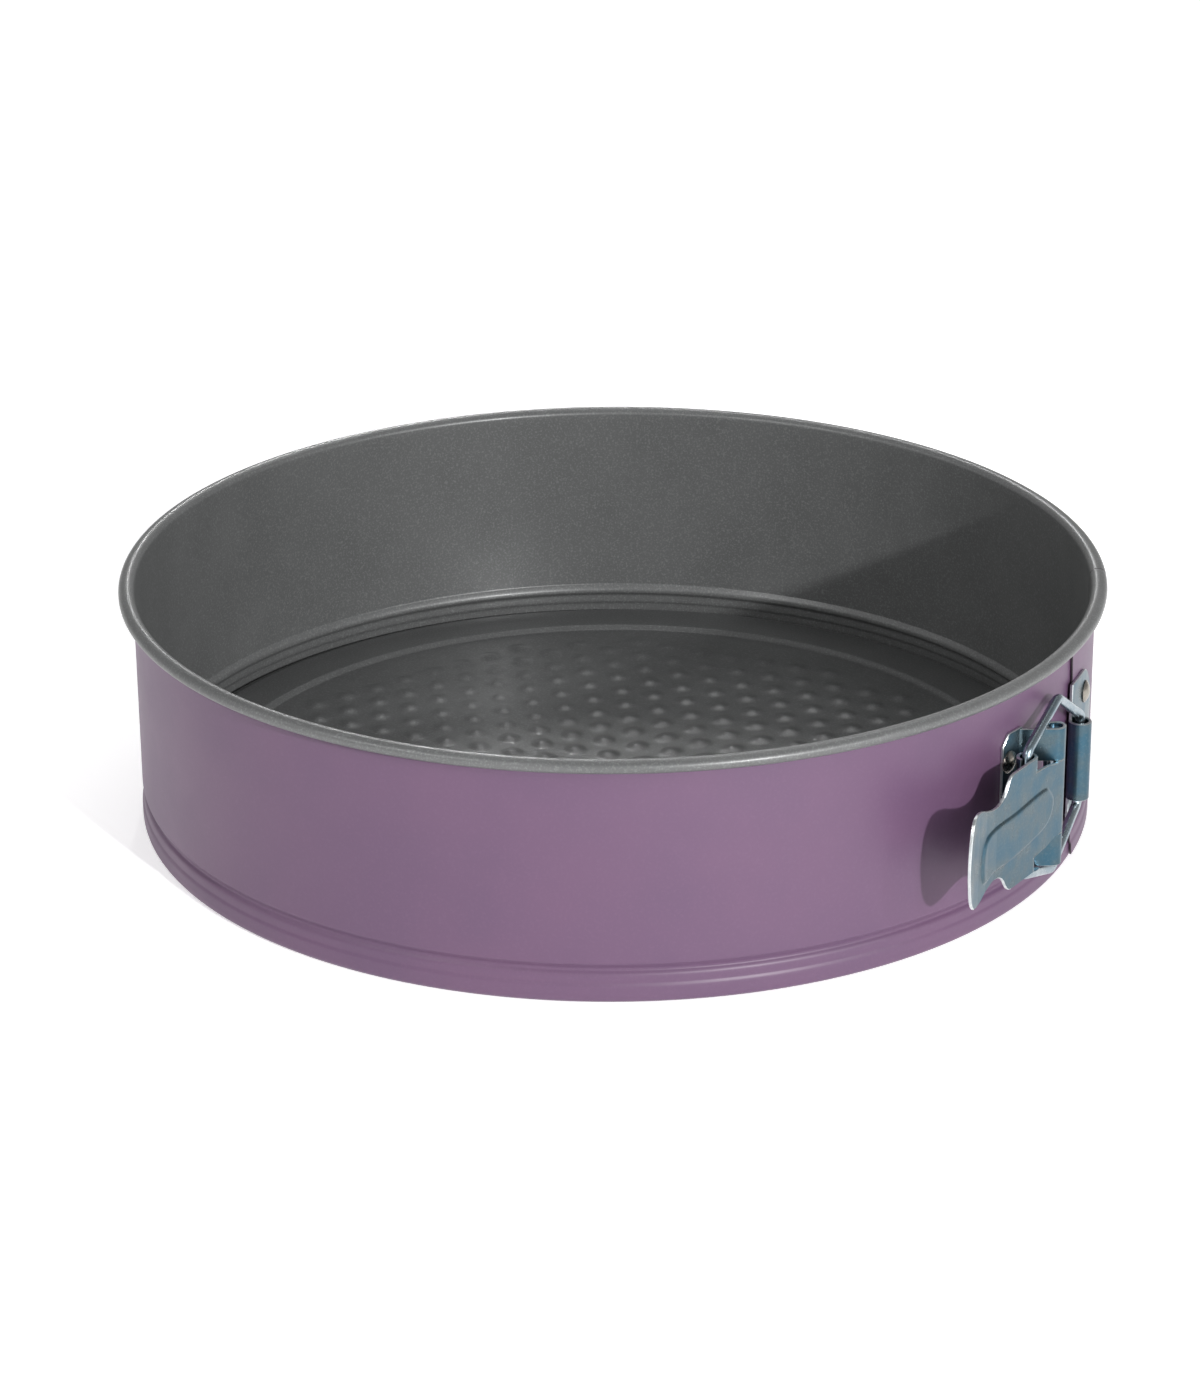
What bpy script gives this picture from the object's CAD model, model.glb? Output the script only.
"""Springform cake pan: the looks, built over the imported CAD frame.

Lengths in the classes are millimetres, as on the maker's drawing, and become
metres where a mesh is made. The frame is the CAD's: the origin on the pan's
axis where it rests, +Z up, the clasp's lever hinge on +X.
"""
import logging
import math
from dataclasses import dataclass, field
from enum import Enum
from typing import Any, Callable, Optional, Sequence

import bpy
import numpy as np
from mathutils import Matrix, Vector


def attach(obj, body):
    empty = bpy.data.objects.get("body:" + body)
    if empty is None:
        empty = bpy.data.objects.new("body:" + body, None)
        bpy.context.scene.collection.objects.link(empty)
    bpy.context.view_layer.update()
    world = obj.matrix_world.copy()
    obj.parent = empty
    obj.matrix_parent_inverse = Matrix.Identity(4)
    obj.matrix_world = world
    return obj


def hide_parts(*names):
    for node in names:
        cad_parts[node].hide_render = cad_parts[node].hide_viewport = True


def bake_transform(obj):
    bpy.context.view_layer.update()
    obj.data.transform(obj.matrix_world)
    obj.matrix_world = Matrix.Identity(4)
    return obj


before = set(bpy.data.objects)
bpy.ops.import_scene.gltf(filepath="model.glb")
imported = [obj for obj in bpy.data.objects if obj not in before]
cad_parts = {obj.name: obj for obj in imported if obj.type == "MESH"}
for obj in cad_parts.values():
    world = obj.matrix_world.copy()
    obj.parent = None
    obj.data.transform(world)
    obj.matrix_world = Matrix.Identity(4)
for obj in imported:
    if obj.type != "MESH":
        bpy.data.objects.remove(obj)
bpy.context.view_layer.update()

log = logging.getLogger("springform")
MM = 0.001
# A sheared edge stands this share of the sheet's thickness out, and is this much of it flat.
EDGE_BULGE = 0.2
EDGE_FLAT = 0.6
Array = np.ndarray


# --------------------------------------------------------------------- helpers


def linear(hex_colour: str) -> tuple[float, float, float, float]:
    """Turns an sRGB hex colour into Blender's linear one.

    Args:
        hex_colour: Six hex digits, with or without a leading hash.

    Returns:
        Red, green, blue and an alpha of 1.
    """
    digits = hex_colour.lstrip("#")
    srgb = np.array([int(digits[i:i + 2], 16) / 255 for i in (0, 2, 4)])
    low, high = srgb / 12.92, ((srgb + 0.055) / 1.055) ** 2.4
    red, green, blue = np.where(srgb <= 0.04045, low, high)
    return float(red), float(green), float(blue), 1.0


def add_node(tree: bpy.types.NodeTree, kind: str, links: Optional[dict[str, Any]] = None,
             settings: Optional[dict[str, Any]] = None, **values: Any) -> bpy.types.Node:
    """Adds one shader node with its settings, input values and incoming links.

    Args:
        tree: The node tree to add to.
        kind: The node's type, such as ShaderNodeBump.
        links: Input names with the output socket that feeds each.
        settings: Attributes of the node itself.
        **values: Input values, with _ for a space in the input's name.

    Returns:
        The new node.
    """
    made = tree.nodes.new(kind)
    for name, value in (settings or {}).items():
        setattr(made, name, value)
    for name, value in values.items():
        made.inputs[name.replace("_", " ")].default_value = value
    for name, socket in (links or {}).items():
        tree.links.new(socket, made.inputs[int(name) if name.isdigit() else name])
    return made


def smoothstep(low: float, high: float, x: Array) -> Array:
    """A cubic ease from 0 at low to 1 at high: 3t^2 - 2t^3 of the clamped share t."""
    share = np.clip((np.asarray(x, float) - low) / (high - low), 0, 1)
    return share * share * (3 - 2 * share)


def eased(points: Sequence[Sequence[float]], steps: int) -> Array:
    """Carries a Catmull-Rom curve through points.

    Between two points the curve is the cubic whose end slopes are half the
    difference of each point's neighbours.

    Args:
        points: The points it passes through.
        steps: How many pieces each stretch is cut into.

    Returns:
        The curve's points, one a row.
    """
    p = np.asarray(points, float)
    before = np.vstack([2 * p[0] - p[1], p[:-2]])
    after = np.vstack([p[2:], 2 * p[-1] - p[-2]])
    start, end = p[:-1], p[1:]
    t = (np.arange(steps) / steps)[None, :, None]
    m0, m1 = ((end - before) / 2)[:, None], ((after - start) / 2)[:, None]
    s, e = start[:, None], end[:, None]
    curve = ((2 * t**3 - 3 * t**2 + 1) * s + (t**3 - 2 * t**2 + t) * m0
             + (-2 * t**3 + 3 * t**2) * e + (t**3 - t**2) * m1)
    return np.vstack([curve.reshape(-1, p.shape[1]), p[-1:]])


def arc(centre: Sequence[float], radius: float, start: float, stop: float, step: float) -> Array:
    """Points of a circle's arc in a plane: centre + radius (cos a, sin a).

    Args:
        centre: The circle's centre.
        radius: Its radius.
        start: First angle, in degrees.
        stop: Last angle, in degrees.
        step: The most that two points are apart, in degrees.

    Returns:
        The points, one a row.
    """
    count = max(2, int(math.ceil(abs(stop - start) / step)) + 1)
    a = np.radians(np.linspace(start, stop, count))
    return np.stack([centre[0] + radius * np.cos(a), centre[1] + radius * np.sin(a)], 1)


def grid_faces(rows: int, columns: int, closed: bool = False) -> Array:
    """The quads of a grid of rows x columns points, numbered row by row.

    Args:
        rows: Points along the first parameter.
        columns: Points along the second.
        closed: Whether the last column meets the first.

    Returns:
        Four indices a quad.
    """
    span = columns if closed else columns - 1
    i, j = np.meshgrid(np.arange(rows - 1), np.arange(span), indexing="ij")
    k = (j + 1) % columns
    return np.stack([i * columns + j, i * columns + k, (i + 1) * columns + k,
                     (i + 1) * columns + j], -1).reshape(-1, 4)


def welded(parts: Sequence[tuple[Array, Array]]) -> tuple[Array, Array]:
    """Joins grids into one, where points within a thousandth of a millimetre become one.

    Args:
        parts: Each grid's points, in mm, and its quads.

    Returns:
        The points and quads of the whole.
    """
    points = np.vstack([p for p, _ in parts])
    offsets = np.cumsum([0] + [len(p) for p, _ in parts[:-1]])
    faces = np.vstack([f + o for (_, f), o in zip(parts, offsets)])
    _, first, index = np.unique(np.round(points, 3), axis=0, return_index=True,
                                return_inverse=True)
    return points[first], index.reshape(-1)[faces]


def joined(solids: Sequence[tuple[Array, Array, Array]]) -> tuple[Array, Array, Array]:
    """Puts separate solids into one mesh.

    Args:
        solids: Each solid's points, its quads, and each quad's Side number.

    Returns:
        The same three for the whole.
    """
    offsets = np.cumsum([0] + [len(points) for points, _, _ in solids[:-1]])
    return (np.vstack([points for points, _, _ in solids]),
            np.vstack([faces + o for (_, faces, _), o in zip(solids, offsets)]),
            np.concatenate([kinds for _, _, kinds in solids]))


def fan(middle: int, first: int, count: int, flipped: bool = False) -> Array:
    """Closes a ring of points with triangles to one middle point.

    Args:
        middle: Index of the middle point.
        first: Index of the ring's first point.
        count: Points in the ring.
        flipped: Whether the triangles run against the ring's order.

    Returns:
        Quads that repeat their first corner, which make_piece turns into triangles.
    """
    around = first + np.arange(count)
    after = np.roll(around, -1)
    one, two = (after, around) if flipped else (around, after)
    return np.stack([np.full(count, middle), np.full(count, middle), one, two], 1)


def quad_normals(points: Array, faces: Array) -> Array:
    """Each point's normal: the sum of its quads' diagonal cross products, made unit.

    Args:
        points: The points.
        faces: The quads.

    Returns:
        One unit normal a point.
    """
    a, b, c, d = (points[faces[:, i]] for i in range(4))
    cross = np.cross(c - a, d - b)
    total = np.zeros_like(points)
    for i in range(4):
        np.add.at(total, faces[:, i], cross)
    return total / np.maximum(np.linalg.norm(total, axis=1), 1e-12)[:, None]


class Side(Enum):
    """Which material slot of a piece of sheet a face takes."""

    FRONT = 0
    BACK = 1
    EDGE = 2


def sheet_solid(points: Array, faces: Array, thickness: float
                ) -> tuple[Array, Array, Array]:
    """Gives a surface the thickness of sheet metal, with broken edges.

    The front lies half a thickness along the normal and the back half against
    it. Every edge that only one quad uses gets a wall of three narrow strips,
    its middle strip a fifth of the thickness further out, as a sheared and
    tumbled edge is.

    Args:
        points: The middle surface, in mm.
        faces: Its quads, turned so that their normals face the front.
        thickness: The sheet's thickness, in mm.

    Returns:
        The solid's points, its quads, and each quad's Side number.
    """
    normal = quad_normals(points, faces)
    half = thickness / 2
    count = len(points)
    edges = np.vstack([faces[:, [i, (i + 1) % 4]] for i in range(4)])
    edges = edges[edges[:, 0] != edges[:, 1]]
    code = np.minimum(edges[:, 0], edges[:, 1]) * count + np.maximum(edges[:, 0], edges[:, 1])
    _, where, uses = np.unique(code, return_index=True, return_counts=True)
    rim = edges[where[uses == 1]]
    along = points[rim[:, 1]] - points[rim[:, 0]]
    out = np.zeros_like(points)
    for end in (0, 1):
        np.add.at(out, rim[:, end], np.cross(along, normal[rim[:, end]]))
    out /= np.maximum(np.linalg.norm(out, axis=1), 1e-12)[:, None]
    bulge = out * EDGE_BULGE * thickness
    layers = [points + normal * half, points - normal * half,
              points + bulge + normal * half * EDGE_FLAT,
              points + bulge - normal * half * EDGE_FLAT]
    a, b = rim[:, 0], rim[:, 1]
    strips = [np.stack([b + upper * count, a + upper * count, a + lower * count,
                        b + lower * count], 1)
              for upper, lower in ((0, 2), (2, 3), (3, 1))]
    quads = np.vstack([faces, faces[:, ::-1] + count] + strips)
    kinds = np.concatenate([np.full(len(faces), Side.FRONT.value),
                            np.full(len(faces), Side.BACK.value),
                            np.full(3 * len(rim), Side.EDGE.value)])
    used = np.zeros(4 * count, bool)
    used[quads] = True
    renumber = np.cumsum(used) - 1
    return np.vstack(layers)[used], renumber[quads], kinds


def make_piece(name: str, points: Array, faces: Array, kinds: Optional[Array],
               materials: Sequence[bpy.types.Material], sharp_deg: float = 32.0
               ) -> bpy.types.Object:
    """Puts computed points and faces into a mesh object at the origin.

    Args:
        name: The piece's name.
        points: Points in mm.
        faces: Triangles or quads; a quad that repeats a corner becomes a triangle.
        kinds: Each face's material number, or None for all 0.
        materials: The materials, by number.
        sharp_deg: Edges that turn more than this stay crisp.

    Returns:
        The new object.
    """
    sizes = np.full(len(faces), faces.shape[1])
    loops = faces.reshape(-1)
    if faces.shape[1] == 4:
        twin = faces == np.roll(faces, 1, axis=1)
        loops = faces[~twin]
        sizes = 4 - twin.sum(1)
    starts = np.concatenate([[0], np.cumsum(sizes)[:-1]])
    mesh = bpy.data.meshes.new(name)
    mesh.vertices.add(len(points))
    mesh.vertices.foreach_set("co", (np.asarray(points, float) * MM).ravel())
    mesh.loops.add(len(loops))
    mesh.loops.foreach_set("vertex_index", loops.astype(np.int32))
    mesh.polygons.add(len(sizes))
    mesh.polygons.foreach_set("loop_start", starts.astype(np.int32))
    mesh.polygons.foreach_set("loop_total", sizes.astype(np.int32))
    for material in materials:
        mesh.materials.append(material)
    if kinds is not None:
        mesh.polygons.foreach_set("material_index", kinds.astype(np.int32))
    mesh.update(calc_edges=True)
    mesh.validate()
    mesh.polygons.foreach_set("use_smooth", np.ones(len(mesh.polygons), bool))
    mesh.set_sharp_from_angle(angle=math.radians(sharp_deg))
    piece = bpy.data.objects.new(name, mesh)
    bpy.context.scene.collection.objects.link(piece)
    log.info("%s: %d points, %d faces", name, len(mesh.vertices), len(mesh.polygons))
    return piece


# -------------------------------------------------------------------- finishes


@dataclass(frozen=True)
class Finish:
    """One procedural finish: what the surface is, and the fine detail it carries.

    Attributes:
        name: What the real material is, and how its surface was made.
        colour: Main colour, sRGB hex.
        second: Colour that the slow cloudiness leans to, sRGB hex.
        metallic: 0 for a coating, 1 for bare metal.
        roughness: Roughness at its smoothest.
        rough_span: How much rougher the cloudiness makes it.
        cloud_mm: Size of the slow cloudiness.
        grain_mm: Size of the fine grain.
        grain_mix: How far the grain leans towards grain_colour.
        grain_colour: Colour of the grain, sRGB hex.
        bump_mm: Height of the grain.
        coat: Weight of a clear coat.
        coat_rough: Roughness of the clear coat.
        stretch: How the grain is drawn out along X, Y and Z.
    """

    name: str
    colour: str
    second: str
    metallic: float
    roughness: float
    rough_span: float
    cloud_mm: float
    grain_mm: float
    grain_mix: float
    grain_colour: str
    bump_mm: float
    coat: float = 0.0
    coat_rough: float = 0.15
    stretch: tuple[float, float, float] = (1.0, 1.0, 1.0)

    def build(self) -> bpy.types.Material:
        """Makes the material: cloudiness in colour and gloss, grain in colour and height.

        Returns:
            The finished material.
        """
        material = bpy.data.materials.new(self.name)
        material.use_nodes = True
        tree = material.node_tree
        shader = tree.nodes["Principled BSDF"]
        shader.inputs["Metallic"].default_value = self.metallic
        shader.inputs["Coat Weight"].default_value = self.coat
        shader.inputs["Coat Roughness"].default_value = self.coat_rough
        place = add_node(tree, "ShaderNodeTexCoord")
        drawn = add_node(tree, "ShaderNodeMapping", {"Vector": place.outputs["Object"]},
                         Scale=self.stretch)
        cloud = add_node(tree, "ShaderNodeTexNoise", {"Vector": place.outputs["Object"]},
                         Scale=1 / (self.cloud_mm * MM), Detail=3.0, Roughness=0.55)
        grain = add_node(tree, "ShaderNodeTexNoise", {"Vector": drawn.outputs["Vector"]},
                         Scale=1 / (self.grain_mm * MM), Detail=2.0, Roughness=0.6)
        lean = add_node(tree, "ShaderNodeMapRange", {"Value": cloud.outputs["Fac"]},
                        From_Min=0.36, From_Max=0.64, To_Min=0.0, To_Max=1.0)
        fleck = add_node(tree, "ShaderNodeMapRange", {"Value": grain.outputs["Fac"]},
                         From_Min=0.5, From_Max=0.72, To_Min=0.0, To_Max=self.grain_mix)
        tone = add_node(tree, "ShaderNodeMix", {"0": lean.outputs["Result"]},
                        {"data_type": "RGBA"})
        tone.inputs[6].default_value = linear(self.colour)
        tone.inputs[7].default_value = linear(self.second)
        mixed = add_node(tree, "ShaderNodeMix", {"0": fleck.outputs["Result"],
                                                 "6": tone.outputs[2]}, {"data_type": "RGBA"})
        mixed.inputs[7].default_value = linear(self.grain_colour)
        gloss = add_node(tree, "ShaderNodeMapRange", {"Value": cloud.outputs["Fac"]},
                         From_Min=0.3, From_Max=0.7, To_Min=self.roughness,
                         To_Max=self.roughness + self.rough_span)
        bump = add_node(tree, "ShaderNodeBump", {"Height": grain.outputs["Fac"]},
                        Strength=1.0, Distance=self.bump_mm * MM)
        tree.links.new(mixed.outputs[2], shader.inputs["Base Color"])
        tree.links.new(gloss.outputs["Result"], shader.inputs["Roughness"])
        tree.links.new(bump.outputs["Normal"], shader.inputs["Normal"])
        return material


class Coat(Enum):
    """The finishes on the pan, by the part of it they are on."""

    # Sprayed and stoved lacquer on steel: even, slightly soft gloss with faint orange peel.
    LILAC = Finish("Stoved lilac lacquer on steel", "#604660", "#5C445E", 0.0, 0.42, 0.05,
                   34.0, 0.9, 0.10, "#7B5F7B", 0.003)
    # Rolled-on PTFE coat with metal flake: dark grey satin with a fine glitter. The flakes
    # are far finer than this; 0.55 mm is as coarse as they need to show.
    NONSTICK = Finish("Metal-flake non-stick coat", "#616262", "#5B5C5C", 0.2, 0.38, 0.06,
                      26.0, 0.55, 0.30, "#9A9C9C", 0.003, coat=0.12, coat_rough=0.2)
    # The same coat on the base, pressed after coating, so a little darker and glossier.
    BASE_COAT = Finish("Non-stick coat on the base", "#565757", "#505151", 0.3, 0.38, 0.06,
                       26.0, 0.55, 0.30, "#8C8E8E", 0.003, coat=0.2, coat_rough=0.18)
    # Blue-passivated zinc plate: bright metal with teal and violet drift.
    ZINC = Finish("Blue-passivated zinc plate", "#58686F", "#446475", 1.0, 0.25, 0.10,
                  6.5, 0.7, 0.18, "#7E8C8C", 0.004)
    # Drawn zinc-plated wire, lightly marked along its length by the die.
    WIRE = Finish("Drawn zinc-plated wire", "#A3AEB4", "#8B9CA6", 1.0, 0.22, 0.10,
                  5.0, 0.5, 0.2, "#C6CCCC", 0.005, stretch=(1.0, 1.0, 0.3))
    # Nickel-plated rivet, smooth from the heading tool.
    RIVET = Finish("Nickel-plated rivet steel", "#A39D93", "#8F8A83", 1.0, 0.22, 0.08,
                   2.6, 0.5, 0.15, "#C8C4BC", 0.004)
    # Sheared zinc sheet: the cut runs bright.
    CUT = Finish("Sheared edge of plated steel", "#D8DCDC", "#C3CACC", 1.0, 0.26, 0.1,
                 2.0, 0.4, 0.2, "#EEEEEC", 0.004)
    # Sheared edge of the coated band, dark where the coats thin out.
    BAND_CUT = Finish("Sheared edge of coated steel", "#3A3339", "#453D44", 0.4, 0.4, 0.1,
                      3.0, 0.4, 0.2, "#6C666A", 0.004)

    def material(self) -> bpy.types.Material:
        """The built material, made once and then shared."""
        found = bpy.data.materials.get(self.value.name)
        return found or self.value.build()


# ------------------------------------------------------------------------ band


@dataclass
class Band:
    """The ring: one strip of coated sheet, its ends overlapped at the clasp.

    The middle line of the sheet, as (radius, height) in mm, goes from the
    lower lip over the groove bead and up the wall, then round the rolled rim.
    """

    pan_r: float = 130.0
    height: float = 67.6
    sheet: float = 0.5
    rim_w: float = 4.4
    rim_h: float = 3.6
    inner_end: float = 31.9
    outer_end: float = 10.7
    seam_at: float = 120.0
    lap_off: float = 0.8
    lap_foot: float = 1.7
    lap_top: float = 63.75
    joggle_gap: float = 0.16
    joggle_w: float = 1.4
    joggle_fade: tuple[float, float] = (61.0, 64.0)
    lean_deg: float = 2.5
    bend: tuple[float, float] = (5.0, 125.0)
    lip: tuple = ((126.4, 2.3), (126.35, 1.5), (126.7, 0.8), (127.2, 0.4), (127.9, 0.25),
                  (128.6, 0.25), (129.6, 0.4), (130.25, 0.95), (130.5, 1.7), (130.5, 3.0),
                  (130.5, 4.3), (130.4, 4.9), (130.13, 5.5), (130.08, 6.2), (130.05, 7.5),
                  (129.78, 8.1), (129.35, 8.6), (129.2, 9.05), (129.33, 9.7), (129.8, 10.5),
                  (130.2, 11.1), (130.25, 11.7))

    def line(self) -> tuple[Array, int, int]:
        """Works out the sheet's middle line.

        Returns:
            The line's points as (radius, height), the row where an overlapping
            end starts above the lip, and the row where the rim starts.
        """
        low = eased(self.lip, 3)
        low[:, 1] = np.maximum(low[:, 1], self.sheet / 2)
        wall_r = self.pan_r + self.sheet / 2
        heights = np.concatenate([np.linspace(13.5, 60, 12), [61.5, 62.5, 63.2, self.lap_top]])
        wall = np.stack([np.full(len(heights), wall_r), heights], 1)
        a = np.radians(np.arange(180, -136, -9))
        rim = np.stack([self.pan_r + self.rim_w / 2 + (self.rim_w - self.sheet) / 2 * np.cos(a),
                        self.height - self.rim_h / 2 + (self.rim_h - self.sheet) / 2 * np.sin(a)],
                       1)
        above_lip = (low[:, 0] > self.pan_r) & (low[:, 1] > self.lap_foot - 1e-6)
        return np.vstack([low, wall, rim]), int(np.argmax(above_lip)), len(low) + len(wall)

    def swept(self, angles: Array, offset: Callable[[Array, Array], Array],
              keep: Callable[[Array, Array], Array], lean: float = 0.0
              ) -> tuple[Array, Array, Array]:
        """Carries the line round the axis: x = r cos a, y = r sin a, r shifted by offset.

        Args:
            angles: Stations round the axis, in degrees.
            offset: Shift of the radius, from each point's row and angle.
            keep: Whether a quad exists, from its row and its middle angle.
            lean: How many degrees the first station's foot lies behind its top;
                the lean fades to nothing where the lap ends.

        Returns:
            The band's points, quads and Side numbers.
        """
        line, _, _ = self.line()
        share = np.clip((self.inner_end - angles) / (self.inner_end - self.outer_end), 0, 1)
        a = np.radians(angles + lean * share * (1 - line[:, 1:] / self.lap_top).clip(0))
        rows = np.arange(len(line))[:, None]
        radius = line[:, :1] + offset(rows, angles[None, :])
        points = np.stack([radius * np.cos(a), radius * np.sin(a),
                           np.broadcast_to(line[:, 1:], radius.shape)], -1).reshape(-1, 3)
        faces = grid_faces(len(line), len(angles))
        middle = (angles[:-1] + angles[1:]) / 2
        kept = keep(np.arange(len(line) - 1)[:, None], middle[None, :])
        faces = faces[np.broadcast_to(kept, (len(line) - 1, len(middle))).reshape(-1)]
        return sheet_solid(points, faces, self.sheet)

    def build(self) -> list[bpy.types.Object]:
        """Builds the ring in two pieces: the long sheet and the end with the catch.

        Returns:
            Both pieces, the long one blended across the back.
        """
        finishes = [Coat.LILAC.material(), Coat.NONSTICK.material(), Coat.BAND_CUT.material()]
        line, lap_row, rim_row = self.line()
        heights = line[:, 1][:, None]
        around = np.linspace(self.seam_at - 360, self.inner_end, 400)
        points, faces, kinds = self.swept(around,
                                          lambda r, a: np.zeros(np.broadcast(r, a).shape),
                                          lambda r, a: np.ones(np.broadcast(r, a).shape, bool))
        ring = make_piece("ring_sheet", points, faces, kinds, finishes)
        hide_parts("band_left")
        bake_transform(ring)

        turn = self.inner_end + self.joggle_gap
        level = turn + self.joggle_w
        stations = np.concatenate([np.linspace(self.outer_end, turn, 43)[:-1],
                                   np.linspace(turn, level, 15)[:-1],
                                   np.linspace(level, self.seam_at, 130)])

        def offset(row: Array, angle: Array) -> Array:
            """The lap's step: full out to the turn, eased to nothing after it, none at the rim.

            Args:
                row: Row of each point on the line.
                angle: Its angle, in degrees.

            Returns:
                How far out the step moves it, in mm.
            """
            out = 1 - smoothstep(turn, level, angle)
            under_rim = smoothstep(*self.joggle_fade, heights[row[:, 0]])
            fade = np.where((angle > turn + 0.02) | (row >= rim_row), under_rim, 0.0)
            return self.lap_off * out * (1 - fade)

        def keep(row: Array, angle: Array) -> Array:
            """Rim and lip only where the strip isn't lapped over the other end."""
            plain = (row >= lap_row) & (row < rim_row - 1)
            return plain | (angle > turn)

        points, faces, kinds = self.swept(stations, offset, keep, self.lean_deg)
        end = make_piece("ring_catch_end", points, faces, kinds, finishes)
        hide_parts("band_right")
        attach(end, "ring_right")
        return [ring, end]


# ------------------------------------------------------------------------ base


@dataclass
class Base:
    """The loose base: one pressing with a raised ring and a dimpled floor.

    The dimples lie on a triangular lattice turned to the maker's press, each
    a dome of height h (1 - (d / w)^2)^2 at distance d from its centre.
    """

    thickness: float = 0.6
    floor_z: float = 3.1
    floor_r: float = 107.0
    floor_rings: int = 104
    spokes: int = 500
    pitch: float = 10.3
    lattice_deg: float = -49.7
    lattice_at: tuple[float, float] = (-0.66, 42.96)
    dome_w: float = 3.7
    dome_h: float = 0.75
    dome_limit: float = 103.0
    edge: tuple = ((128.72, 3.05), (128.72, 2.75))
    corners: tuple = ((107.0, 3.1), (110.6, 3.1), (111.8, 3.16), (112.5, 3.62), (113.2, 4.3),
                      (114.2, 4.4), (119.0, 4.4), (124.4, 4.4), (125.6, 4.36), (126.0, 4.1),
                      (126.4, 3.4), (126.9, 3.2), (127.6, 3.2), (128.6, 3.2))

    def domes(self, x: Array, y: Array) -> Array:
        """Height of the dimples over the floor at each point, in mm.

        The nearest lattice point is the nearest of the four corners of the
        lattice cell that a point lies in.

        Args:
            x: The points' x.
            y: Their y.

        Returns:
            The height at each, 0 between the dimples.
        """
        a = math.radians(self.lattice_deg)
        u = np.array([math.cos(a), math.sin(a)]) * self.pitch
        v = np.array([math.cos(a + math.pi / 3), math.sin(a + math.pi / 3)]) * self.pitch
        rel = np.stack([x - self.lattice_at[0], y - self.lattice_at[1]], -1)
        share = rel @ np.linalg.inv(np.stack([u, v]))
        best = np.full(x.shape, np.inf)
        centre = np.zeros(x.shape + (2,))
        for du in (0, 1):
            for dv in (0, 1):
                spot = (np.floor(share) + (du, dv)) @ np.stack([u, v])
                away = np.linalg.norm(rel - spot, axis=-1)
                closer = away < best
                best = np.where(closer, away, best)
                centre = np.where(closer[..., None], spot, centre)
        inside = np.linalg.norm(centre + self.lattice_at, axis=-1) < self.dome_limit
        dome = np.clip(1 - (best / self.dome_w) ** 2, 0, 1) ** 2
        return np.where(inside, dome * self.dome_h, 0.0)

    def build(self) -> bpy.types.Object:
        """Builds the base as rings and spokes: over the top, round the edge, back underneath.

        The underside is plain and has fewer rings.

        Returns:
            The finished piece, on its body.
        """
        outer = eased(self.corners, 3)
        radii = np.concatenate([np.linspace(0.0, self.floor_r, self.floor_rings + 2)[1:-1],
                                outer[:, 0]])
        tops = np.concatenate([np.full(self.floor_rings, self.floor_z), outer[:, 1]])
        a = np.arange(self.spokes) / self.spokes * 2 * math.pi
        thin = np.concatenate([np.arange(3, self.floor_rings, 4),
                               np.arange(self.floor_rings, len(radii), 2)])
        edge = np.array(self.edge)
        around = np.concatenate([radii, edge[:, 0], radii[-1:], radii[thin][::-1]])
        x, y = around[:, None] * np.cos(a), around[:, None] * np.sin(a)
        z = np.concatenate([tops, edge[:, 1], tops[-1:] - self.thickness,
                            tops[thin][::-1] - self.thickness])
        z = np.repeat(z[:, None], self.spokes, 1)
        z[:len(radii)] += self.domes(x[:len(radii)], y[:len(radii)])
        hub_z = self.floor_z + float(self.domes(np.zeros(1), np.zeros(1))[0])
        points = np.vstack([[[0, 0, hub_z]], np.stack([x, y, z], -1).reshape(-1, 3),
                            [[0, 0, self.floor_z - self.thickness]]])
        faces = grid_faces(len(around), self.spokes, closed=True)[:, ::-1] + 1
        last = len(points) - 1
        faces = np.vstack([fan(0, 1, self.spokes), faces,
                           fan(last, last - self.spokes, self.spokes, flipped=True)])
        piece = make_piece("base_dimpled", points, faces, None,
                           [Coat.BASE_COAT.material()], 60.0)
        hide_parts("base_plate")
        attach(piece, "base")
        return piece


# ----------------------------------------------------------------------- clasp


@dataclass
class Clasp:
    """Shared sizes of the over-centre clasp, in mm; heights are from its middle."""

    middle: float = 33.0
    hinge: tuple[float, float] = (137.4, 0.0)
    crank: float = 15.0
    plate: float = 0.9
    barrel: float = 2.35
    outer_r: float = 130.5

    def upright(self, plan: Array, low: Array, high: Array, rows: Sequence[float]) -> Array:
        """Stands a plan line up: row s of the surface lies at low + s (high - low).

        Args:
            plan: Plan points (x, y).
            low: Lower height at each plan point, from the clasp's middle.
            high: Upper height at each plan point.
            rows: Shares from 0 to 1.

        Returns:
            Points, plan station by plan station.
        """
        share = np.asarray(rows)[None, :]
        z = self.middle + low[:, None] + share * (high - low)[:, None]
        plane = np.broadcast_to(plan[:, None, :], z.shape + (2,))
        return np.concatenate([plane, z[..., None]], -1).reshape(-1, 3)

    def zinc(self) -> list[bpy.types.Material]:
        """The finishes of a plated sheet, by Side: both faces, then the cut edge."""
        return [Coat.ZINC.material(), Coat.ZINC.material(), Coat.CUT.material()]


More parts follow.
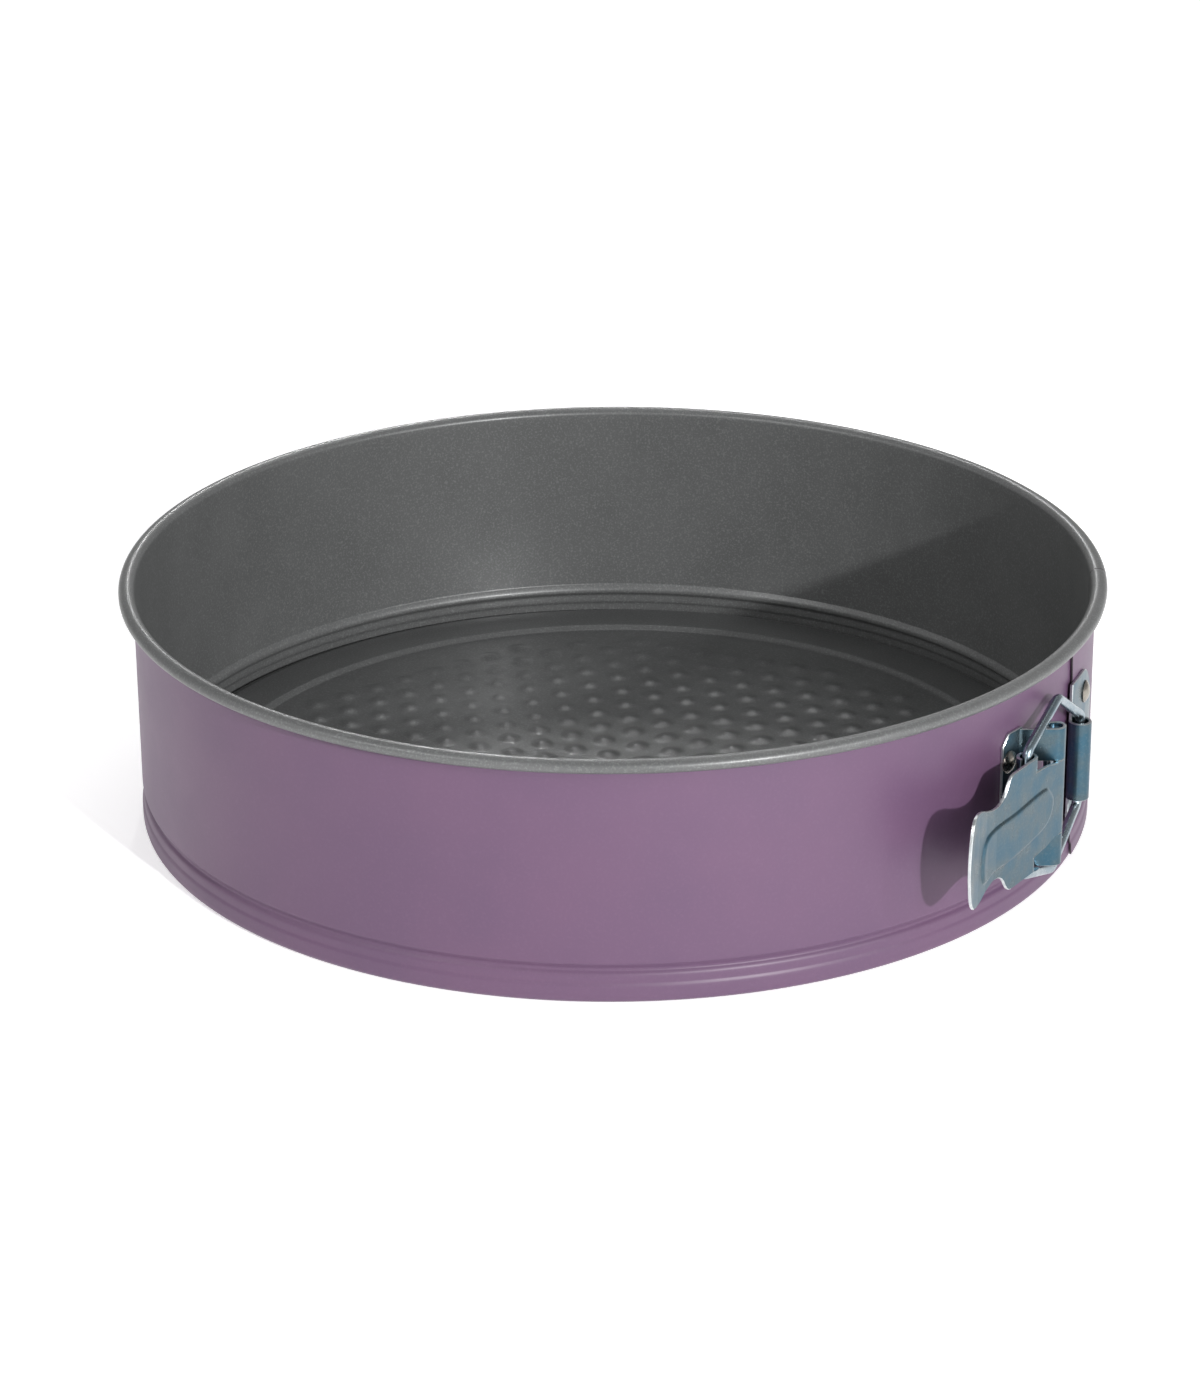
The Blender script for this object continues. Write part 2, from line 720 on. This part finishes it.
@dataclass
class Bracket(Clasp):
    """The bracket: a plate riveted to the band and two straps rolled round the pin."""

    left_deg: float = -6.5
    right_deg: float = -2.85
    plate_top: float = 19.7
    clip: tuple[float, float] = (2.4, 3.0)
    strap: tuple[float, float] = (10.6, 19.3)
    strap_foot: tuple = ((130.62, -8.9), (130.95, -7.2), (133.2, -5.62), (136.1, -3.68))
    strap_turn: tuple[float, float] = (-55.0, 236.0)

    def strap_line(self) -> Array:
        """The strap's plan line: off the wall, outside the pin, round it and back behind.

        Returns:
            Points (x, y).
        """
        roll = arc(self.hinge, self.barrel, *self.strap_turn, 9)
        rise = eased(self.strap_foot + (tuple(roll[0]),), 5)
        return np.vstack([rise[:-1], roll])

    def build(self) -> bpy.types.Object:
        """Builds the plate with its clipped corners, and the two straps.

        Returns:
            The finished piece, on its body.
        """
        deg = np.linspace(self.left_deg, self.right_deg, 12)
        a = np.radians(deg)
        wall = self.outer_r + self.plate / 2
        plan = np.stack([wall * np.cos(a), wall * np.sin(a)], 1)
        along = (a - a[0]) * wall
        half = self.plate_top - self.clip[1] * np.clip(1 - along / self.clip[0], 0, 1)
        points = self.upright(plan, -half, half, np.linspace(0, 1, 25))
        solids = [sheet_solid(points, grid_faces(len(plan), 25), self.plate)]
        line = self.strap_line()
        for sign in (-1, 1):
            low, high = sorted(sign * end for end in self.strap)
            points = self.upright(line, np.full(len(line), low), np.full(len(line), high),
                                  np.linspace(0, 1, 7))
            solids.append(sheet_solid(points, grid_faces(len(line), 7), self.plate))
        piece = make_piece("bracket_plate", *joined(solids), self.zinc())
        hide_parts("lever_bracket")
        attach(piece, "ring_left")
        return piece


@dataclass
class Lever(Clasp):
    """The lever: a pressed plate with a thumb tab, a hinge barrel and two curls.

    In plan the sheet runs straight along the wall, 2.35 mm outside the hinge's
    axis, and the tab flares outward. Its half height follows the outline.
    """

    barrel_h: float = 10.3
    curl: tuple[float, float] = (12.2, 16.0)
    outline: tuple = ((-53.0, 0.0), (-52.85, 2.6), (-52.2, 6.8), (-51.4, 9.3), (-50.2, 11.2),
                      (-48.9, 12.35), (-47.2, 12.7), (-45.4, 12.6), (-43.5, 12.1), (-41.2, 11.1),
                      (-39.0, 10.4), (-37.2, 9.95), (-35.5, 9.8), (-34.0, 9.95), (-32.6, 10.4),
                      (-31.3, 11.2), (-30.2, 12.4), (-29.4, 13.75), (-28.4, 15.0), (-27.5, 15.7),
                      (-26.3, 16.0), (-22.0, 16.0), (-18.0, 16.0), (-15.0, 16.0))
    flare: tuple = ((-54.0, 3.0), (-50.0, 1.95), (-46.0, 1.1), (-41.0, 0.4), (-36.0, 0.04),
                    (-30.0, 0.0), (0.0, 0.0))
    panel: tuple = ((-7.6, 4.2), (-9.17, 5.3), (-13.0, 5.45), (-17.05, 5.2), (-25.6, 4.5),
                    (-33.1, 4.5), (-38.8, 4.1), (-41.4, 3.1), (-42.9, 0.9), (-43.5, -1.7),
                    (-43.6, -4.5), (-43.0, -7.2), (-41.6, -8.1), (-40.0, -7.9), (-37.6, -7.2),
                    (-32.3, -7.3), (-24.3, -7.0), (-18.4, -6.4), (-13.0, -5.6), (-9.2, -4.7),
                    (-6.6, -2.8), (-5.5, 0.2), (-6.1, 2.4))
    panel_h: float = 0.55
    panel_edge: float = 1.15
    tip: float = -52.99
    shoulder: float = -15.0
    slit: float = 0.25
    neck: tuple = ((-15.0, 11.95), (-8.3, 11.5), (-3.2, 10.3), (0.0, 10.3))

    def raised(self, y: Array, z: Array) -> Array:
        """Height of the pressed panel: its distance inside the outline, eased over panel_edge.

        Args:
            y: Points along the lever.
            z: Their heights from the clasp's middle.

        Returns:
            The height at each in mm, half of it on the outline and 0 outside its edge.
        """
        ring = eased(self.panel + self.panel[:1], 3)
        start, end = ring[:-1], ring[1:]
        at = np.stack([y, z], -1)[:, None, :]
        span = end - start
        t = np.clip(((at - start) * span).sum(-1) / (span * span).sum(-1), 0, 1)
        away = np.linalg.norm(at - (start + t[..., None] * span), axis=-1).min(1)
        over = (start[:, 1] > z[:, None]) != (end[:, 1] > z[:, None])
        slope = np.where(np.abs(span[:, 1]) < 1e-9, 1e-9, span[:, 1])
        cross = start[:, 0] + (z[:, None] - start[:, 1]) / slope * span[:, 0]
        inside = (over & (y[:, None] < cross)).sum(1) % 2 == 1
        signed = np.where(inside, away, -away)
        return self.panel_h * smoothstep(-self.panel_edge / 2, self.panel_edge / 2, signed)

    def build(self) -> bpy.types.Object:
        """Builds the blade, the neck with its barrel and the two curls as one sheet.

        Returns:
            The finished piece, on its body.
        """
        knots = np.array(self.outline)
        face_x = self.hinge[0] + self.barrel
        y = np.unique(np.concatenate([np.linspace(self.tip, self.shoulder, 110),
                                      knots[:, 0]]))
        half = np.interp(y, knots[:, 0], knots[:, 1])
        half[0] = 0.15
        inner = self.curl[0] - self.slit
        centre = np.linspace(-inner, inner, 73)
        top = np.linspace(self.curl[0], self.curl[1], 7)
        rows = np.concatenate([-top[::-1], centre, top])
        z = rows[None, :] / self.curl[1] * half[:, None]
        yy = np.broadcast_to(y[:, None], z.shape)
        bend = np.interp(yy, *np.array(self.flare).T)
        lift = self.raised(yy.ravel(), z.ravel()).reshape(z.shape)
        blade = np.stack([face_x + bend + lift, yy, z + self.middle], -1).reshape(-1, 3)
        parts = [(blade, grid_faces(len(y), len(rows)))]

        along = np.concatenate([np.arange(self.shoulder, -3.3, 0.4), [-3.2, -1.6, 0.0]])
        neck_h = np.interp(along, *np.array(self.neck).T)
        wrap = arc(self.hinge, self.barrel, 0, 258, 9)[1:]
        plan = np.vstack([np.stack([np.full(len(along), face_x), along], 1), wrap])
        tall = np.concatenate([neck_h, np.full(len(wrap), self.barrel_h)])
        share = centre / inner
        z = share[None, :] * tall[:, None]
        xy = np.broadcast_to(plan[:, None, :], z.shape + (2,)).copy()
        flat = np.zeros(z.shape)
        flat[:len(along)] = self.raised(np.repeat(along, len(centre)),
                                        z[:len(along)].ravel()).reshape(len(along), -1)
        xy[..., 0] += flat
        neck = np.concatenate([xy, (z + self.middle)[..., None]], -1).reshape(-1, 3)
        parts.append((neck, grid_faces(len(plan), len(centre))))
        pivot = (self.hinge[0], -self.crank)
        wrap = arc(pivot, self.barrel, 0, 262, 9)
        for band in (top, -top[::-1]):
            z = np.broadcast_to(band[None, :] + self.middle, (len(wrap), len(band)))
            xy = np.broadcast_to(wrap[:, None, :], z.shape + (2,))
            curl = np.concatenate([xy, z[..., None]], -1).reshape(-1, 3)
            parts.append((curl, grid_faces(len(wrap), len(band))))
        points, faces = welded(parts)
        points, faces, kinds = sheet_solid(points, faces, self.plate)
        piece = make_piece("lever_plate", points, faces, kinds, self.zinc())
        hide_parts("lever")
        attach(piece, "lever")
        return piece


@dataclass
class Bail(Clasp):
    """The bail: a loop of wire bent with even fillets, swept as a round tube."""

    catch: tuple[float, float] = (132.36645, 23.57806)
    wire_r: float = 1.3
    end_share: float = 0.8
    sides: int = 28
    bends: tuple = ((0.0, 12.5, 0.0), (0.0, 17.3, 2.9), (0.54, 24.3, 3.0), (1.0, 12.7, 2.4))

    def path(self) -> Array:
        """The wire's centre line: straight runs joined by arcs of the bend radii.

        Returns:
            Points (x, y, z).
        """
        start = np.array([self.hinge[0], -self.crank])
        across = np.array(self.catch) - start
        length = float(np.linalg.norm(across))
        half = [(s * length, h, r) for s, h, r in self.bends]
        loop = half + [(s, -h, r) for s, h, r in reversed(half)]
        knots = np.array([k[:2] for k in loop])
        line = [knots[:1]]
        for i in range(1, len(knots) - 1):
            back, ahead = knots[i - 1] - knots[i], knots[i + 1] - knots[i]
            back, ahead = back / np.linalg.norm(back), ahead / np.linalg.norm(ahead)
            corner = math.acos(float(np.clip(back @ ahead, -1, 1)))
            radius = loop[i][2]
            reach = radius / math.tan(corner / 2)
            middle = knots[i] + (back + ahead) / np.linalg.norm(back + ahead) \
                * radius / math.sin(corner / 2)
            one, two = knots[i] + back * reach - middle, knots[i] + ahead * reach - middle
            t = np.linspace(0, 1, 9)[:, None]
            sweep = math.pi - corner
            line.append(middle + (np.sin((1 - t) * sweep) * one + np.sin(t * sweep) * two)
                        / math.sin(sweep))
        line.append(knots[-1:])
        flat = np.vstack(line)
        unit = across / length
        return np.stack([start[0] + unit[0] * flat[:, 0], start[1] + unit[1] * flat[:, 0],
                         self.middle + flat[:, 1]], 1)

    def build(self) -> bpy.types.Object:
        """Sweeps the round section: each ring is square to the line, its side axis fixed.

        Returns:
            The finished piece, on its body.
        """
        line = self.path()
        cuts = np.linalg.norm(np.diff(line, axis=0), axis=1)
        s = np.concatenate([[0], np.cumsum(cuts)])
        fine = np.unique(np.concatenate([s, np.arange(0, s[-1], 1.2)]))
        line = np.stack([np.interp(fine, s, line[:, i]) for i in range(3)], 1)
        way = np.gradient(line, axis=0)
        way /= np.linalg.norm(way, axis=1)[:, None]
        side = np.cross(line[2] - line[0], line[len(line) // 2] - line[0])
        side = side / np.linalg.norm(side)
        up = np.cross(way, side)
        t = np.arange(self.sides) / self.sides * 2 * math.pi
        radius = np.full((len(line), 1, 1), self.wire_r)
        radius[[0, -1]] *= self.end_share
        rings = line[:, None] + radius * (np.cos(t)[None, :, None] * side
                                          + np.sin(t)[None, :, None] * up[:, None])
        points = np.vstack([line[:1], rings.reshape(-1, 3), line[-1:]])
        last = len(points) - 1
        faces = np.vstack([fan(0, 1, self.sides, flipped=True),
                           grid_faces(len(line), self.sides, closed=True) + 1,
                           fan(last, last - self.sides, self.sides)])
        piece = make_piece("bail_wire", points, faces, None, [Coat.WIRE.material()], 40.0)
        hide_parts("bail")
        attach(piece, "bail")
        return piece


@dataclass
class Catch(Clasp):
    """The catch: a plate on the outer end of the band, its edge rolled round the bail."""

    axis_r: float = 134.45
    axis_deg: float = 10.1
    lap_r: float = 131.3
    roll_r: float = 2.65
    roll_h: float = 10.9
    roll_turn: float = 318.0
    right_deg: float = 19.2
    plate_ends: tuple = ((10.1, 20.7), (14.4, 20.7), (15.6, 20.2), (16.6, 18.9), (17.5, 16.6),
                         (18.4, 13.6), (19.2, 10.2))

    def build(self) -> bpy.types.Object:
        """Builds the plate, rounded off past its rivets, and the roll as the sheet carried on.

        Returns:
            The finished piece, on its body.
        """
        wall = self.lap_r + self.plate / 2
        a = np.radians(np.linspace(self.right_deg, self.axis_deg, 24))
        plan = np.stack([wall * np.cos(a), wall * np.sin(a)], 1)
        centre = self.axis_r * np.array([math.cos(a[-1]), math.sin(a[-1])])
        start = self.axis_deg + 180
        roll = arc(centre, self.roll_r, start, start + self.roll_turn, 8)[1:]
        half = np.interp(np.degrees(a), *np.array(self.plate_ends).T)
        plate = self.upright(plan, -half, half, np.linspace(0, 1, 41))
        shell = np.full(len(roll) + 1, self.roll_h)
        tube = self.upright(np.vstack([plan[-1:], roll]), -shell, shell,
                            np.linspace(0, 1, 21))
        solids = []
        for points, columns in ((plate, 41), (tube, 21)):
            faces = grid_faces(len(points) // columns, columns)[:, ::-1]
            solids.append(sheet_solid(points, faces, self.plate))
        piece = make_piece("catch_roll", *joined(solids), self.zinc())
        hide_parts("catch_plate")
        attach(piece, "ring_right")
        return piece


@dataclass
class Fasteners:
    """The hinge pin and the four rivets, which keep their CAD shape."""

    finishes: dict[str, Coat] = field(default_factory=lambda: {
        "lever_pin": Coat.WIRE, "bracket_rivet_upper": Coat.RIVET,
        "bracket_rivet_lower": Coat.RIVET, "catch_rivet_upper": Coat.RIVET,
        "catch_rivet_lower": Coat.RIVET})

    def dress(self) -> None:
        """Gives each its finish."""
        for name, coat in self.finishes.items():
            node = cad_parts[name]
            node.data.materials.clear()
            node.data.materials.append(coat.material())
            log.info("%s: CAD shape, %s", name, coat.value.name)


# ---------------------------------------------------------------------- studio


@dataclass(frozen=True)
class Softbox:
    """One softbox that looks at the pan's middle.

    Attributes:
        name: The light's name.
        azimuth: Degrees round Z from +X.
        elevation: Degrees above the floor.
        distance: Metres from the pan.
        size: Width and height in metres.
        watts: Its power.
    """

    name: str
    azimuth: float
    elevation: float
    distance: float
    size: tuple[float, float]
    watts: float

    def hang(self) -> None:
        """Makes the light and turns it to the pan; it never shows in the view."""
        data = bpy.data.lights.new(self.name, "AREA")
        data.shape = "RECTANGLE"
        data.size, data.size_y = self.size
        data.energy = self.watts
        light = bpy.data.objects.new(self.name, data)
        a, e = math.radians(self.azimuth), math.radians(self.elevation)
        way = Vector((math.cos(a) * math.cos(e), math.sin(a) * math.cos(e), math.sin(e)))
        light.location = way * self.distance + Vector((0, 0, 0.03))
        light.rotation_euler = way.to_track_quat("Z", "Y").to_euler()
        light.visible_camera = False
        bpy.context.scene.collection.objects.link(light)


@dataclass
class Studio:
    """Plain pale floor, soft studio light and the camera."""

    camera_at: tuple[float, float, float] = (0.59607, -0.88357, 0.47902)
    turn_deg: float = 34.2
    tilt_deg: float = 67.04
    roll_deg: float = -0.36
    lens_mm: float = 107.5
    floor_r: float = 6000.0
    floor_z: float = -0.05
    floor_sides: int = 96
    floor_glow: float = 0.45
    room_light: tuple[float, float] = (0.5, 0.25)
    softboxes: tuple[Softbox, ...] = (
        # A small key from the right gives the clasp its crisp shadow on the wall.
        Softbox("key", -26.5, 18.5, 1.9, (0.05, 0.05), 26),
        Softbox("strip_clasp", 2, 20, 1.6, (0.02, 0.5), 2),
        Softbox("front", -106, 38, 1.9, (0.9, 0.5), 7),
        Softbox("left", -145, 25, 2.0, (1.0, 0.6), 2),
        Softbox("strip_left", -77, 24, 1.6, (0.05, 0.7), 1.5),
        Softbox("strip_right", -22, 24, 1.6, (0.08, 0.7), 3.5),
        # The lights behind show as soft spots on the base's dimples.
        Softbox("strip_back", 127.6, 29, 1.95, (0.03, 0.5), 4.5),
        Softbox("top", 118, 80, 1.8, (1.1, 0.6), 2),
        Softbox("top_back", 114, 52, 1.8, (0.9, 0.5), 3.5))

    def camera(self) -> None:
        """Places the camera: turned about Z, tilted from straight down, then rolled."""
        data = bpy.data.cameras.new("studio_camera")
        data.lens, data.sensor_width, data.sensor_fit = self.lens_mm, 36.0, "AUTO"
        data.clip_start, data.clip_end = 0.02, 50.0
        camera = bpy.data.objects.new("studio_camera", data)
        camera.matrix_world = (Matrix.Translation(self.camera_at)
                               @ Matrix.Rotation(math.radians(self.turn_deg), 4, "Z")
                               @ Matrix.Rotation(math.radians(self.tilt_deg), 4, "X")
                               @ Matrix.Rotation(math.radians(self.roll_deg), 4, "Z"))
        bpy.context.scene.collection.objects.link(camera)
        bpy.context.scene.camera = camera

    def floor(self) -> None:
        """Lays the floor: a pale matt disc, faintly clouded, with a faint glow of its own."""
        a = np.arange(self.floor_sides) / self.floor_sides * 2 * math.pi
        rim = np.stack([self.floor_r * np.cos(a), self.floor_r * np.sin(a),
                        np.full(self.floor_sides, self.floor_z)], 1)
        points = np.vstack([[[0, 0, self.floor_z]], rim])
        faces = fan(0, 1, self.floor_sides)
        pale = Finish("Matt white paper sweep", "#F7F7F7", "#F4F4F4", 0.0, 0.8, 0.05, 400.0,
                      3.0, 0.03, "#FFFFFF", 0.0).build()
        glow = pale.node_tree.nodes["Principled BSDF"]
        glow.inputs["Emission Color"].default_value = linear("#FFFFFF")
        glow.inputs["Emission Strength"].default_value = self.floor_glow
        make_piece("studio_floor", points, faces, None, [pale])

    def world(self) -> None:
        """Fills the room with even white light, a little darker overhead."""
        world = bpy.data.worlds.new("studio_room")
        world.use_nodes = True
        tree = world.node_tree
        tree.nodes.clear()
        place = add_node(tree, "ShaderNodeTexCoord")
        split = add_node(tree, "ShaderNodeSeparateXYZ", {"Vector": place.outputs["Generated"]})
        shade = add_node(tree, "ShaderNodeMapRange", {"Value": split.outputs["Z"]},
                         From_Min=0.05, From_Max=0.75, To_Min=self.room_light[0],
                         To_Max=self.room_light[1])
        light = add_node(tree, "ShaderNodeBackground", {"Strength": shade.outputs["Result"]},
                         Color=linear("#FFFFFF"))
        add_node(tree, "ShaderNodeOutputWorld", {"Surface": light.outputs["Background"]})
        bpy.context.scene.world = world

    def build(self) -> None:
        """Sets up the whole studio."""
        self.camera()
        self.floor()
        self.world()
        for softbox in self.softboxes:
            softbox.hang()
        view = bpy.context.scene.view_settings
        view.view_transform, view.look = "Standard", "None"
        log.info("studio: camera %.1f mm, floor, room and %d softboxes", self.lens_mm,
                 len(self.softboxes))


def main() -> None:
    """Builds every piece in order, then the studio."""
    logging.basicConfig(level=logging.INFO, format="%(name)s: %(message)s")
    Band().build()
    Base().build()
    Bracket().build()
    Lever().build()
    Bail().build()
    Catch().build()
    Fasteners().dress()
    Studio().build()


if __name__ == "__main__":
    main()
